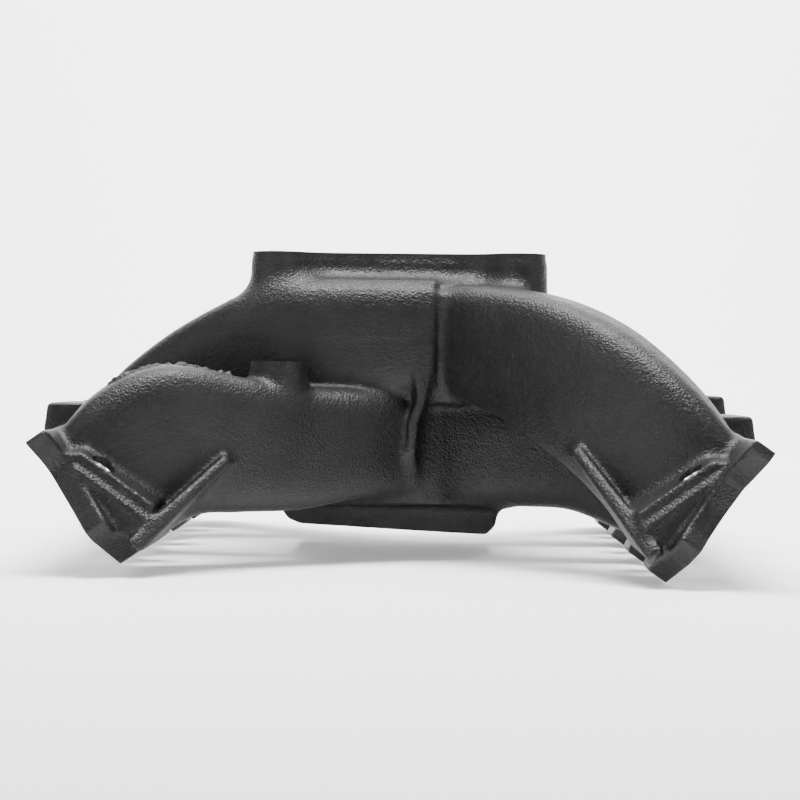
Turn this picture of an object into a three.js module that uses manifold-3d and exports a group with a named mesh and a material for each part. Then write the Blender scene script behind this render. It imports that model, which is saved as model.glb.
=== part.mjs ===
// Dual-plane carburettor intake manifold for a 90-degree V8 with an open valley.
// Millimetres. X points to the right bank, Y to the rear along the crankshaft, Z up.
// The origin is the centre of the carburettor pad, on its machined top face.

import * as THREE from 'three';
import { ConvexGeometry } from 'three/addons/geometries/ConvexGeometry.js';
import { mergeVertices } from 'three/addons/utils/BufferGeometryUtils.js';
import { LoftGeometry } from 'three/addons/geometries/LoftGeometry.js';
import Module from 'manifold-3d';

// Engine layout
const BORE_SPACING = 111.8;
const BANK_OFFSET = 24;               // the right bank sits this much further forward
const FIT_GAP = 0.3;                  // clearance between pieces that touch

// Carburettor pad: square-bore, four studs
const STUD_X = 65.5;
const STUD_Y = 71.45;
const PAD_CORNER_RADIUS = 13.5;
const PAD_THICKNESS = 20;
const PAD_FRONT_RECESS = 15;
const BARREL_RADIUS = 23;
const BARREL_X = 27.5;
const BARREL_Y = 26;
const INSERT = { outer: 5.5, inner: 3.5, length: 16, sink: 0.3 };

// Head flanges, described on the right bank and mirrored for the left
const FLANGE_ANGLE = THREE.MathUtils.degToRad(55);
const PORT_CENTRE = { x: 157.6, z: -131.5 };
const PORT = { width: 31, height: 54 };
const FLANGE_THICKNESS = 11.5;
const FLANGE_TOP = 38;                // up the slope from the port centre
const FLANGE_FOOT = { left: -37, right: -42 };
const FLANGE_SCALLOP = -24;           // lower edge between two ports
const FOOT_HALF_WIDTH = 14;
// Flange end outlines: distance past the end port along the engine, and height up the slope.
const FRONT_EDGE = {
  left: [[45, FLANGE_TOP], [35, 26], [33, 19], [41, -2], [48, -15], [45, -20]],
  right: [[60, FLANGE_TOP], [60, 33], [50, 22], [43, 16], [42, 0], [45, -12], [50, -20], [42, -28]],
};
const REAR_EDGE = [[48, FLANGE_TOP], [42, 24], [41, 4], [48, -14], [44, -22]];
const BOLT_TILT = THREE.MathUtils.degToRad(35);
const BOLT = { fromEndPort: -26, x: 143, z: -111, radius: 5, headRadius: 6.7 };
const SEAL = { land: 2.2, grooveWidth: 4.2, grooveDepth: 3 };
const RAIL_BOSS_TOP = { left: [-82, -82, -82], right: [-85, -76, -85] };
const SEAT_OUTER = { x: 153.5, z: -105.5 };  // ends of the bolt seat line, seen along the engine
const SEAT_INNER = { x: 117, z: -131.5 };
const SEAT_FRONT = 33;                // front of an end seat, past the end port
const SEAT_DRAFT = 3.5;               // rise of the seat towards the runner
const LIP = { below: 7.5, height: 3.5, proud: 4 };
const RIB_TOP = { left: { x: 86, z: -107, past: 3 }, right: { x: 92.3, z: -100.2, past: -9 } };
const RIB_FOOT = { x: 129, z: -147.5, past: 46 };
const RIB_THICKNESS = { top: 5.5, foot: 9 };

// Runners and plenums
const WALL = 5;
const END_WALL = 6;                   // closes the plenum end of every runner
const DIVIDER = 9;                    // wall between the two halves of the carburettor opening
const UPPER_FLOOR = -72;
const LOWER_ROOF = -80;
const LOWER_FLOOR = -143;
const PLENUM_HALF = 51;               // half width across the engine
const BODY_BOTTOM = -138;
const PAN = { left: -67, right: 56, draft: 12, halfLength: 66, bottomLeft: -148, bottomRight: -154 };
const BOSS = { x: -62, y: 113, radius: 15, top: -59.5 };
const PLUG = { radius: 8.5, length: 12, sink: 0.5, hex: 4.6, hexDepth: 7 };

const wasm = await Module();
wasm.setup();

// ---------------------------------------------------------------- solids

const MIRROR_X = new THREE.Matrix4().makeScale(-1, 1, 1);

function volumeOf(positions, indices) {
  let six = 0;
  const a = new THREE.Vector3();
  const b = new THREE.Vector3();
  const c = new THREE.Vector3();
  for (let i = 0; i < indices.length; i += 3) {
    a.fromArray(positions, 3 * indices[i]);
    b.fromArray(positions, 3 * indices[i + 1]);
    c.fromArray(positions, 3 * indices[i + 2]);
    six += a.dot(b.cross(c));
  }
  return six / 6;
}

// A closed three.js geometry as a solid, turned right side out if a mirror has flipped it.
function solid(geometry, matrix = new THREE.Matrix4()) {
  const bare = new THREE.BufferGeometry().copy(geometry);
  bare.deleteAttribute('normal');
  bare.deleteAttribute('uv');
  bare.applyMatrix4(matrix);
  const merged = mergeVertices(bare, 1e-4);
  const positions = new Float32Array(merged.attributes.position.array);
  const triangles = [];
  const index = merged.index.array;
  for (let i = 0; i < index.length; i += 3) {
    const corners = [index[i], index[i + 1], index[i + 2]];
    if (new Set(corners).size === 3) triangles.push(...corners);
  }
  if (volumeOf(positions, triangles) < 0) triangles.reverse();
  const mesh = new wasm.Mesh({ numProp: 3, vertProperties: positions, triVerts: new Uint32Array(triangles) });
  return new wasm.Manifold(mesh);
}

function union(solids) {
  return solids.reduce((whole, next) => whole.add(next));
}

function cut(body, tools) {
  return tools.reduce((whole, tool) => whole.subtract(tool), body);
}

function box(x0, x1, y0, y1, z0, z1) {
  const geometry = new THREE.BoxGeometry(x1 - x0, y1 - y0, z1 - z0);
  return geometry.translate((x0 + x1) / 2, (y0 + y1) / 2, (z0 + z1) / 2);
}

// A vertical cylinder between two heights.
function post(x, y, radius, z0, z1, sides = 16) {
  const geometry = new THREE.CylinderGeometry(radius, radius, z1 - z0, sides);
  return geometry.rotateX(Math.PI / 2).translate(x, y, (z0 + z1) / 2);
}

// An outline in the X-Z plane, extruded along Y from y0 to y1.
function slab(points, y0, y1) {
  const shape = new THREE.Shape(points.map(([x, z]) => new THREE.Vector2(x, z)));
  const geometry = new THREE.ExtrudeGeometry(shape, { depth: y1 - y0, bevelEnabled: false });
  return geometry.rotateX(Math.PI / 2).translate(0, y1, 0);
}

// The convex solid with the given corners.
function hull(corners, matrix) {
  return solid(new ConvexGeometry(corners.map((corner) => new THREE.Vector3(...corner))), matrix);
}

// ---------------------------------------------------------------- banks

const slopeUp = new THREE.Vector3(Math.cos(FLANGE_ANGLE), 0, Math.sin(FLANGE_ANGLE));
const faceNormal = new THREE.Vector3(Math.sin(FLANGE_ANGLE), 0, -Math.cos(FLANGE_ANGLE));

const BANKS = ['left', 'right'].map((name) => {
  const sign = name === 'right' ? 1 : -1;
  const middle = (-sign * BANK_OFFSET) / 2;
  return {
    name,
    mirror: sign === 1 ? new THREE.Matrix4() : MIRROR_X,
    ports: [-1.5, -0.5, 0.5, 1.5].map((step) => middle + step * BORE_SPACING),
    ribTop: RIB_TOP[name],
    foot: FLANGE_FOOT[name],
    frontEdge: FRONT_EDGE[name],
    railBossTops: RAIL_BOSS_TOP[name],
    // the outer runners of the right bank belong to the upper plane, those of the left to the lower
    upperOutside: sign === 1,
  };
});

// Flange coordinates: along the engine, up the slope, and inward from the mating face.
function flangeFrame(bank, alongEngine = 0) {
  const frame = new THREE.Matrix4().makeBasis(new THREE.Vector3(0, 1, 0), slopeUp, faceNormal);
  frame.setPosition(PORT_CENTRE.x, alongEngine, PORT_CENTRE.z);
  return frame.premultiply(bank.mirror);
}

// ---------------------------------------------------------------- runners

// Stations run from the plenum to the port: x outward, z, how far along from the plenum to the port,
// yaw towards the end of the engine, tilt of the section, and the height of the passage.
const UPPER_OUTER = { startY: 38, stations: [
  { x: 20, z: -47, reach: 0, yaw: 70, tilt: 0, height: 48 },
  { x: 42, z: -49, reach: 0.3, yaw: 50, tilt: 8, height: 52 },
  { x: 68, z: -55, reach: 0.5, yaw: 44, tilt: 26, height: 60 },
  { x: 90, z: -66.5, reach: 0.66, yaw: 36, tilt: 33, height: 65 },
  { x: 110, z: -81.5, reach: 0.8, yaw: 30, tilt: 35, height: 65 },
  { x: 134, z: -104.5, reach: 0.93, yaw: 18, tilt: 35, height: 62 },
  { x: 157.6, z: -131.5, reach: 1, yaw: 0, tilt: 35, height: 54 },
] };
const LOWER_OUTER = { startY: 62, stations: [
  { x: -8, z: -103, reach: 0, yaw: 30, tilt: 0, height: 44 },
  { x: 22, z: -103, reach: 0.25, yaw: 30, tilt: 0, height: 48 },
  { x: 54, z: -105, reach: 0.47, yaw: 32, tilt: 0, height: 55 },
  { x: 85, z: -102.5, reach: 0.7, yaw: 32, tilt: 4, height: 61 },
  { x: 112, z: -100.5, reach: 0.86, yaw: 26, tilt: 16, height: 69 },
  { x: 137, z: -112.5, reach: 0.96, yaw: 12, tilt: 25, height: 67 },
  { x: 157.6, z: -131.5, reach: 1, yaw: 0, tilt: 35, height: 54 },
] };
const UPPER_CROSS = { startY: 74, stations: [
  { x: -19, z: -47, reach: 0, yaw: 0, tilt: 0, height: 52 },
  { x: 15, z: -47, reach: 0, yaw: 0, tilt: 0, height: 52 },
  { x: 50, z: -47, reach: 0, yaw: 0, tilt: 6, height: 52 },
  { x: 72, z: -52, reach: 0.08, yaw: 0, tilt: 18, height: 52 },
  { x: 92, z: -62, reach: 0.35, yaw: 0, tilt: 26, height: 54 },
  { x: 116, z: -78, reach: 0.7, yaw: 0, tilt: 33, height: 56 },
  { x: 141, z: -101, reach: 0.95, yaw: 0, tilt: 35, height: 57 },
  { x: 157.6, z: -131.5, reach: 1, yaw: 0, tilt: 35, height: 54 },
] };
const LOWER_CROSS = { startY: 48, stations: [
  { x: -10, z: -107, reach: 0, yaw: 0, tilt: 0, height: 46 },
  { x: 30, z: -107, reach: 0.3, yaw: 0, tilt: 0, height: 46 },
  { x: 66, z: -107, reach: 0.6, yaw: 0, tilt: 2, height: 50 },
  { x: 100, z: -105, reach: 0.85, yaw: 0, tilt: 10, height: 58 },
  { x: 134, z: -116, reach: 0.97, yaw: 0, tilt: 22, height: 61 },
  { x: 157.6, z: -131.5, reach: 1, yaw: 0, tilt: 35, height: 54 },
] };

const SECTION_POINTS = 16;
const SQUARENESS = 5;                 // exponent of the rounded-rectangle section
const STEPS_PER_STATION = 1;

function roundedPoint(angle, halfWidth, halfHeight) {
  const bulge = (value) => Math.sign(value) * Math.abs(value) ** (2 / SQUARENESS);
  return [halfWidth * bulge(Math.cos(angle)), halfHeight * bulge(Math.sin(angle))];
}

// One runner as a loft; wall is added all round the passage, overrun pushes the last ring outward.
function runner(course, bank, portY, end, wall, overrun) {
  const startY = end * course.startY;
  const centres = new THREE.CatmullRomCurve3(course.stations.map((s) =>
    new THREE.Vector3(s.x, startY + s.reach * (portY - startY), s.z)));
  const attitudes = new THREE.CatmullRomCurve3(course.stations.map((s) =>
    new THREE.Vector3(THREE.MathUtils.degToRad(s.yaw), THREE.MathUtils.degToRad(s.tilt), s.height)));
  const rings = [];
  const steps = (course.stations.length - 1) * STEPS_PER_STATION;
  for (let i = 0; i <= steps; i++) {
    const centre = centres.getPoint(i / steps);
    const attitude = attitudes.getPoint(i / steps);
    const yaw = attitude.x;
    const tilt = attitude.y;
    const across = new THREE.Vector3(-end * Math.sin(yaw), Math.cos(yaw), 0);
    const upright = new THREE.Vector3(
      Math.cos(yaw) * Math.sin(tilt), end * Math.sin(yaw) * Math.sin(tilt), Math.cos(tilt));
    if (i === 0 && wall === 0) centre.x += END_WALL;
    if (i === steps) centre.addScaledVector(faceNormal, overrun);
    const ring = [];
    for (let k = 0; k < SECTION_POINTS; k++) {
      const angle = (k / SECTION_POINTS) * 2 * Math.PI;
      const [a, b] = roundedPoint(angle, PORT.width / 2 + wall, attitude.z / 2 + wall);
      ring.push(centre.clone().addScaledVector(across, a).addScaledVector(upright, b));
    }
    rings.push(ring);
  }
  return solid(new LoftGeometry(rings, { capStart: true, capEnd: true }), bank.mirror);
}

function runners(wall, overrun) {
  const all = [];
  for (const bank of BANKS) {
    bank.ports.forEach((portY, i) => {
      const outside = i === 0 || i === 3;
      const upper = outside === bank.upperOutside;
      const outer = upper ? UPPER_OUTER : LOWER_OUTER;
      const cross = upper ? UPPER_CROSS : LOWER_CROSS;
      const end = i < 2 ? -1 : 1;
      all.push(runner(outside ? outer : cross, bank, portY, end, wall, overrun));
    });
  }
  return all;
}

// ---------------------------------------------------------------- flanges

// Plate outline: ears at both ends, a flat foot below every port and a scallop between ports.
function flangeOutline(bank) {
  const first = bank.ports[0];
  const last = bank.ports[3];
  const points = bank.frontEdge.map(([past, up]) => [first - past, up]);
  bank.ports.forEach((port, i) => {
    points.push([port - FOOT_HALF_WIDTH, bank.foot], [port + FOOT_HALF_WIDTH, bank.foot]);
    if (i === 3) return;
    points.push([port + 2.4 * FOOT_HALF_WIDTH, FLANGE_SCALLOP]);
    points.push([port + BORE_SPACING - 2.4 * FOOT_HALF_WIDTH, FLANGE_SCALLOP]);
  });
  REAR_EDGE.toReversed().forEach(([past, up]) => points.push([last + past, up]));
  return new THREE.Shape(points.map(([along, up]) => new THREE.Vector2(along, up)));
}

function flangePlate(bank) {
  const options = { depth: FLANGE_THICKNESS, bevelEnabled: false };
  const plate = new THREE.ExtrudeGeometry(flangeOutline(bank), options).translate(0, 0, -FLANGE_THICKNESS);
  return solid(plate, flangeFrame(bank));
}

// Bolt positions along the engine: one outside each end port and one between each pair of ports.
function boltPositions(bank) {
  const between = [0, 1, 2].map((i) => (bank.ports[i] + bank.ports[i + 1]) / 2);
  return [bank.ports[0] + BOLT.fromEndPort, ...between, bank.ports[3] - BOLT.fromEndPort];
}

// The wedge of metal under a bolt head, between two places along the engine.
function seatBlock(bank, y0, y1, lift) {
  const slope = new THREE.Vector2(SEAT_OUTER.x - SEAT_INNER.x, SEAT_OUTER.z - SEAT_INNER.z).normalize();
  const [dx, dz] = [-slope.y * lift, slope.x * lift];
  const foot = [[126, -146], [160, -122], [167, -107]];
  const corners = [];
  for (const [x, z] of [[SEAT_OUTER.x, SEAT_OUTER.z], [SEAT_INNER.x, SEAT_INNER.z]]) {
    corners.push([x, y0, z], [x + dx, y1, z + dz]);
  }
  for (const [x, z] of foot) corners.push([x, y0, z], [x, y1, z]);
  return hull(corners, bank.mirror);
}

// A bolt seat at one end of a flange, with the lip under it, the scooped wall below and the rib beside it.
function endBoss(bank, port, end) {
  const along = (past) => port + end * past;
  const slope = new THREE.Vector2(SEAT_OUTER.x - SEAT_INNER.x, SEAT_OUTER.z - SEAT_INNER.z).normalize();
  const lip = [];
  for (const below of [LIP.below, LIP.below + LIP.height]) {
    for (const seat of [SEAT_OUTER, SEAT_INNER]) {
      const x = seat.x + slope.y * below - 1.5;
      const z = seat.z - slope.x * below;
      lip.push([x, along(SEAT_FRONT + LIP.proud), z], [x, along(15), z]);
    }
  }
  const wall = [];
  const wallOutline = [[156, -110, 0], [118, -136, 0], [156, -122, 2], [146, -136, 5], [136, -146, 6],
    [126, -148, 5], [120, -141, 4]];
  for (const [x, z, rise] of wallOutline) wall.push([x, along(SEAT_FRONT + rise), z], [x, along(12), z]);
  return union([
    seatBlock(bank, along(SEAT_FRONT), along(4), SEAT_DRAFT),
    hull(lip, bank.mirror),
    hull(wall, bank.mirror),
    rib(bank, along),
  ]);
}

function rib(bank, along) {
  const run = new THREE.Vector2(RIB_FOOT.x - bank.ribTop.x, RIB_FOOT.z - bank.ribTop.z).normalize();
  const ends = [[bank.ribTop, RIB_THICKNESS.top], [RIB_FOOT, RIB_THICKNESS.foot]];
  const corners = ends.flatMap(([place, thickness]) => {
    const [dx, dz] = [run.y * thickness, -run.x * thickness];
    const back = Math.min(place.past, 0) - 30;
    return [place.past, back].flatMap((past) => [
      [place.x, along(past), place.z],
      [place.x + dx, along(past), place.z + dz],
    ]);
  });
  return hull(corners, bank.mirror);
}

function railBosses(bank) {
  return bank.railBossTops.map((top, i) => {
    const outline = [[161, top], [180.5, top], [182.5, top - 14], [166, -122], [150, -112]];
    const y0 = bank.ports[i] + 24;
    const y1 = bank.ports[i + 1] - 24;
    return solid(slab(outline, y0, y1), bank.mirror);
  });
}

function bolts(bank) {
  return boltPositions(bank).flatMap((y) => {
    const frame = new THREE.Matrix4().makeRotationY(-BOLT_TILT).setPosition(BOLT.x, y, BOLT.z);
    frame.premultiply(bank.mirror);
    return [solid(post(0, 0, BOLT.radius, -60, 4), frame), solid(post(0, 0, BOLT.headRadius, -2, 40), frame)];
  });
}

// Everything beyond the mating plane.
function beyondFlange(bank) {
  const slice = new THREE.BoxGeometry(600, 400, 60).translate(0, 0, 30);
  return solid(slice, flangeFrame(bank));
}

function portLoop(margin, depth) {
  const points = [];
  for (let k = 0; k < SECTION_POINTS; k++) {
    const angle = (k / SECTION_POINTS) * 2 * Math.PI;
    points.push(new THREE.Vector2(...roundedPoint(angle, PORT.width / 2 + margin, PORT.height / 2 + margin)));
  }
  return new THREE.ExtrudeGeometry(new THREE.Shape(points), { depth, bevelEnabled: false });
}

// A ring round a port, between two margins outside the passage and two depths below the mating face.
function portRing(frame, inner, outer, shallow, deep) {
  const outside = portLoop(outer, deep - shallow).translate(0, 0, -deep);
  const inside = portLoop(inner, deep - shallow + 2).translate(0, 0, -deep - 1);
  return solid(outside, frame).subtract(solid(inside, frame));
}

// ---------------------------------------------------------------- centre

function padSolid() {
  const x = STUD_X;
  const y = STUD_Y;
  const r = PAD_CORNER_RADIUS;
  const shape = new THREE.Shape();
  const notch = y + r - PAD_FRONT_RECESS;
  shape.moveTo(-x + r + 8, -notch);
  shape.lineTo(-x + r, -y);
  shape.absarc(-x, -y, r, 0, -Math.PI, true);
  shape.absarc(-x, y, r, Math.PI, 0, true);
  shape.lineTo(-x + r + 8, notch);
  shape.lineTo(x - r - 8, notch);
  shape.lineTo(x - r, y);
  shape.absarc(x, y, r, Math.PI, 0, true);
  shape.absarc(x, -y, r, 0, -Math.PI, true);
  shape.lineTo(x - r - 8, -notch);
  const options = { depth: PAD_THICKNESS + 6, bevelEnabled: false, curveSegments: 6 };
  return solid(new THREE.ExtrudeGeometry(shape, options).translate(0, 0, -PAD_THICKNESS - 6));
}

function panSolid() {
  const outline = [
    [PAN.left, BODY_BOTTOM + 2],
    [PAN.left + PAN.draft, PAN.bottomLeft],
    [PAN.right - PAN.draft / 2, PAN.bottomRight],
    [PAN.right, BODY_BOTTOM + 2],
  ];
  return solid(slab(outline, -PAN.halfLength, PAN.halfLength));
}

// A column whose plan is the given front half, repeated at the rear.
function column(frontHalf, z0, z1) {
  const plan = [...frontHalf, ...frontHalf.toReversed().map(([x, y]) => [x, -y])];
  return hull(plan.flatMap(([x, y]) => [[x, y, z0], [x, y, z1]]));
}

// The slim upright at one end of the engine where the left bank's walls stop.
function dividerRib(end) {
  const levels = [
    { x: [10, 17], z: -52, y: 93 },
    { x: [10, 15], z: -79, y: 95.5 },
    { x: [8, 12], z: -92, y: 95 },
    { x: [6.8, 10], z: -124, y: 84 },
  ];
  const pieces = [];
  for (let i = 0; i < 3; i++) {
    const corners = [levels[i], levels[i + 1]].flatMap(({ x, z, y }) =>
      x.flatMap((side) => [[side, end * y, z], [side, end * 66, z]]));
    pieces.push(hull(corners));
  }
  return union(pieces);
}

function centreBody() {
  return union([
    padSolid(),
    column([[-62, -72], [-52, -80], [24, -80], [62, -64]], BODY_BOTTOM, -18),
    solid(box(14, 34, -88, 88, -80, -24)),
    panSolid(),
    dividerRib(-1),
    dividerRib(1),
  ]);
}

// The two halves of the carburettor opening, each joining a front and a rear barrel.
function barrelSlot(side, z0, z1) {
  const shape = new THREE.Shape();
  shape.absarc(0, BARREL_Y, BARREL_RADIUS, 0, Math.PI, false);
  shape.absarc(0, -BARREL_Y, BARREL_RADIUS, Math.PI, 2 * Math.PI, false);
  const options = { depth: z1 - z0, bevelEnabled: false, curveSegments: 8 };
  return solid(new THREE.ExtrudeGeometry(shape, options).translate(side * BARREL_X, 0, z0));
}

function plenumSpaces() {
  const half = DIVIDER / 2;
  const lowerPlan = [[-PLENUM_HALF, -60], [-PLENUM_HALF + 8, -70], [22, -70], [PLENUM_HALF - 2, -58]];
  return [
    barrelSlot(1, UPPER_FLOOR, 5),
    barrelSlot(-1, LOWER_FLOOR, 5),
    column([[half, -69], [26, -69], [PLENUM_HALF - 2, -56]], UPPER_FLOOR, -27),
    column(lowerPlan, LOWER_FLOOR + 12, LOWER_ROOF),
    solid(box(-PLENUM_HALF, PLENUM_HALF, -60, 60, LOWER_FLOOR, LOWER_ROOF)),
  ];
}

const VACUUM_BOSSES = [{ name: 'front_boss_plug', end: -1 }, { name: 'rear_boss_plug', end: 1 }];

function castingSolid() {
  const outside = [centreBody(), ...runners(WALL, -3)];
  for (const bank of BANKS) {
    outside.push(flangePlate(bank), ...railBosses(bank));
    for (const y of boltPositions(bank).slice(1, 4)) outside.push(seatBlock(bank, y - 10, y + 10, 0));
    outside.push(endBoss(bank, bank.ports[0], -1), endBoss(bank, bank.ports[3], 1));
  }
  for (const boss of VACUUM_BOSSES) {
    outside.push(solid(post(BOSS.x, boss.end * BOSS.y, BOSS.radius, -90, BOSS.top)));
  }
  const holes = [...plenumSpaces(), ...runners(0, 6)];
  for (const bank of BANKS) {
    holes.push(beyondFlange(bank), ...bolts(bank));
    for (const y of bank.ports) {
      const margin = SEAL.land;
      holes.push(portRing(flangeFrame(bank, y), margin, margin + SEAL.grooveWidth, -1, SEAL.grooveDepth));
    }
  }
  for (const boss of VACUUM_BOSSES) {
    holes.push(solid(post(BOSS.x, boss.end * BOSS.y, PLUG.radius + FIT_GAP, BOSS.top - PLUG.length - 2, 0)));
    holes.push(solid(post(BOSS.x, boss.end * BOSS.y, PLUG.hex, -100, 0, 12)));
  }
  for (const [x, y] of studPositions()) {
    holes.push(solid(post(x, y, INSERT.outer + FIT_GAP, -INSERT.length - 1, 1)));
  }
  return cut(union(outside), holes);
}

// ---------------------------------------------------------------- small pieces

function studPositions() {
  return [[-STUD_X, -STUD_Y], [STUD_X, -STUD_Y], [-STUD_X, STUD_Y], [STUD_X, STUD_Y]];
}

function insertSolid(x, y) {
  const top = -INSERT.sink;
  const sleeve = solid(post(x, y, INSERT.outer, -INSERT.length, top));
  return sleeve.subtract(solid(post(x, y, INSERT.inner, -INSERT.length - 1, top + 1)));
}

function plugSolid(end) {
  const top = BOSS.top - PLUG.sink;
  const y = end * BOSS.y;
  const body = solid(post(BOSS.x, y, PLUG.radius, top - PLUG.length, top));
  return body.subtract(solid(post(BOSS.x, y, PLUG.hex, top - PLUG.hexDepth, top + 1, 6)));
}

function sealSolid(bank, y) {
  const inner = SEAL.land + FIT_GAP;
  const outer = SEAL.land + SEAL.grooveWidth - FIT_GAP;
  return portRing(flangeFrame(bank, y), inner, outer, 0.1, SEAL.grooveDepth - FIT_GAP);
}

// ---------------------------------------------------------------- assembly

const coated = { color: 0x1b1b1d, roughness: 0.55, metalness: 0.2 };
const steel = { color: 0x9a9c9f, roughness: 0.35, metalness: 1 };
const rubber = { color: 0x1a1614, roughness: 0.8, metalness: 0 };

const manifoldAssembly = new THREE.Group();

function addPiece(name, piece, finish) {
  const { vertProperties, triVerts } = piece.getMesh();
  const geometry = new THREE.BufferGeometry();
  geometry.setAttribute('position', new THREE.BufferAttribute(vertProperties, 3));
  geometry.setIndex(new THREE.BufferAttribute(triVerts, 1));
  geometry.computeVertexNormals();
  const mesh = new THREE.Mesh(geometry, new THREE.MeshStandardMaterial(finish));
  mesh.name = name;
  manifoldAssembly.add(mesh);
}

addPiece('manifold_casting', castingSolid(), coated);

const INSERT_NAMES = ['front_left', 'front_right', 'rear_left', 'rear_right'];
studPositions().forEach(([x, y], i) => addPiece(`carb_insert_${INSERT_NAMES[i]}`, insertSolid(x, y), steel));

for (const { name, end } of VACUUM_BOSSES) addPiece(name, plugSolid(end), steel);

for (const bank of BANKS) {
  bank.ports.forEach((y, i) => addPiece(`port_seal_${bank.name}_${i + 1}`, sealSolid(bank, y), rubber));
}

export default manifoldAssembly;
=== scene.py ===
# Dual-plane intake manifold: the looks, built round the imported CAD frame.
# The casting is a distance field of lofted runners, plates and bosses, so that every cast
# corner gets its fillet. The machined faces and holes are then cut sharp.
# Shapes are described on the right bank, in millimetres, and mirrored for the left one.

import math

import bmesh
import bpy
import numpy as np
import openvdb as vdb
from mathutils import Matrix, Vector
from mathutils.geometry import tessellate_polygon


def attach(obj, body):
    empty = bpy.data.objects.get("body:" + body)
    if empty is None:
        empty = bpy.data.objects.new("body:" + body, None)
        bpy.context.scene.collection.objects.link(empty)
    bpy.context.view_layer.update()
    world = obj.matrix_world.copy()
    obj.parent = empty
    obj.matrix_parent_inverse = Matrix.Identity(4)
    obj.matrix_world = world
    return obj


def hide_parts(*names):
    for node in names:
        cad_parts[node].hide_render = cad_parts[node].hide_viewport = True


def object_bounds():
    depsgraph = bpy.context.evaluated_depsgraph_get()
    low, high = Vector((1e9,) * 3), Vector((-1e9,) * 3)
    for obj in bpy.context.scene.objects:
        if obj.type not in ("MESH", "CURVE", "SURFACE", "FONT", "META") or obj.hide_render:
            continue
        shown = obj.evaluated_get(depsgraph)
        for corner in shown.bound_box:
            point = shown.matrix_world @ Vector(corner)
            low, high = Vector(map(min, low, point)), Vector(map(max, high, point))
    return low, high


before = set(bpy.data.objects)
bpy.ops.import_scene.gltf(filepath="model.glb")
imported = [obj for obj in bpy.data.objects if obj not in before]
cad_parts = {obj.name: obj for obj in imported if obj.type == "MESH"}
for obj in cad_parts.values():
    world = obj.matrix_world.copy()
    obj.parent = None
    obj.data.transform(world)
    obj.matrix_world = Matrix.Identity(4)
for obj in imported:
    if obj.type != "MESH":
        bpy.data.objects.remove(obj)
CAD_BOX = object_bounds()

MM = 0.001
VOXEL = 1.3          # millimetres
BAND = 7                                    # voxels of exact distance on each side of a surface

# ---------------------------------------------------------------- layout, in millimetres

BORE_SPACING = 111.8
BANK_OFFSET = 24.0
STUD_X, STUD_Y = 65.5, 71.45
PAD_RADIUS = 13.5
BARREL_X, BARREL_Y, BARREL_RADIUS = 27.5, 26.0, 23.0
PORT_X, PORT_Z = 157.6, -131.5
PORT_WIDTH, PORT_HEIGHT = 31.0, 54.0
WALL = 5.0
END_WALL = 6.0                              # closes the plenum end of every runner
FLANGE_ANGLE = math.radians(55)
FLANGE_THICKNESS = 11.5
BOLT_X, BOLT_Z, BOLT_FROM_PORT = 143.0, -111.0, -26.0
BOLT_ANGLE = math.radians(35)
BOSS_X, BOSS_Y, BOSS_RADIUS, BOSS_TOP = -62.0, 113.0, 15.0, -59.5

SLOPE_UP = np.array([math.cos(FLANGE_ANGLE), 0, math.sin(FLANGE_ANGLE)])
FACE_NORMAL = np.array([math.sin(FLANGE_ANGLE), 0, -math.cos(FLANGE_ANGLE)])


class Bank:
    def __init__(self, name, sign, rib_top, rib_depth, rail_tops, foot, front_edge):
        self.name = name
        self.sign = sign
        self.ports = [-sign * BANK_OFFSET / 2 + step * BORE_SPACING for step in (-1.5, -0.5, 0.5, 1.5)]
        self.rib_top = rib_top
        self.rib_depth = rib_depth
        self.rail_tops = rail_tops
        self.foot = foot
        self.front_edge = front_edge
        self.upper_outside = sign > 0

    def bolts(self):
        between = [(a + b) / 2 for a, b in zip(self.ports, self.ports[1:])]
        return [self.ports[0] + BOLT_FROM_PORT, *between, self.ports[3] - BOLT_FROM_PORT]


# The front edge of a flange: distance in front of the first port, height up the slope.
BANKS = [
    Bank("left", -1, (86, -107), 3, (-82, -82, -82), -37,
         [(45, 38), (35, 26), (33, 19), (41, -2), (48, -15), (45, -20)]),
    Bank("right", 1, (92.3, -100.2), -9, (-85, -76, -85), -42,
         [(60, 38), (60, 33), (50, 22), (43, 16), (42, 0), (45, -12), (50, -20), (42, -28)]),
]
REAR_EDGE = [(48, 38), (42, 24), (41, 4), (48, -14), (44, -22)]

# ---------------------------------------------------------------- meshes as (points, faces)


def mirrored(shape, bank):
    """Turn a shape described on the right bank into the bank's own side."""
    points, faces = shape
    if bank.sign > 0:
        return shape
    return points * np.array([-1, 1, 1]), [face[::-1] for face in faces]


def ring_faces(rings, count):
    faces = []
    for i in range(rings - 1):
        for k in range(count):
            nxt = (k + 1) % count
            faces.append((i * count + k, i * count + nxt, (i + 1) * count + nxt, (i + 1) * count + k))
    return faces


def tube_faces(rings, count):
    """Faces of a ring-shaped solid: the last loop joins the first again."""
    faces = []
    for i in range(rings):
        j = (i + 1) % rings
        for k in range(count):
            nxt = (k + 1) % count
            faces.append((i * count + k, i * count + nxt, j * count + nxt, j * count + k))
    return faces


def fan(first, count, reverse):
    """Close a convex ring with triangles."""
    tris = [(first, first + k, first + k + 1) for k in range(1, count - 1)]
    return [t[::-1] for t in tris] if reverse else tris


def outward(points, faces):
    """Make sure that the faces of a closed shape look outward."""
    volume = 0.0
    for face in faces:
        a = points[face[0]]
        for i in range(1, len(face) - 1):
            volume += np.dot(a, np.cross(points[face[i]], points[face[i + 1]]))
    return [f[::-1] for f in faces] if volume < 0 else faces


def loft(rings):
    count = len(rings[0])
    points = np.concatenate(rings)
    faces = ring_faces(len(rings), count)
    faces += fan(0, count, True) + fan((len(rings) - 1) * count, count, False)
    return points, outward(points, faces)


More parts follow.
